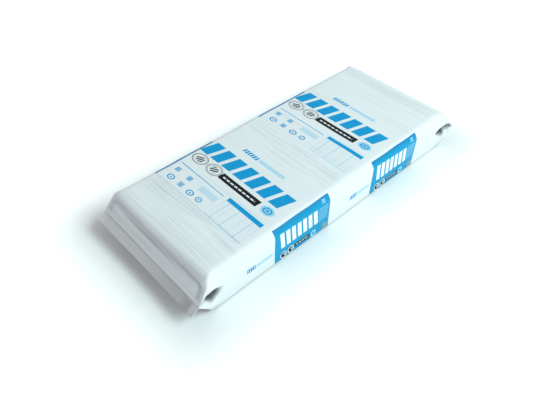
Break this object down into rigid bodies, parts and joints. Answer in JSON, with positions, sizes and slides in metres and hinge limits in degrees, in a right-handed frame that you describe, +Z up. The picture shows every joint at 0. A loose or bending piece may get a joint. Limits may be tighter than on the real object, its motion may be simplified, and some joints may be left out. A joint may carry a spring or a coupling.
{
  "type": "bag of loose-fill insulation",
  "caption": "Long flat film bag with tucked side gussets and a welded fin across each end, packed tight with pressed loose mineral wool.",
  "frame": {"origin": "on the floor, under the middle of the bag", "axes": "+X along the bag, +Y across it, +Z up"},
  "size_m": [1.4512, 0.572, 0.172],
  "materials": {
    "polythene_film": "satin white film",
    "mineral_wool": "matte fibrous tufts"
  },
  "bodies": {
    "root": {"film_bag": "polythene_film", "weld_fins": "polythene_film", "wool_fill": "mineral_wool"}
  },
  "joints": []
}
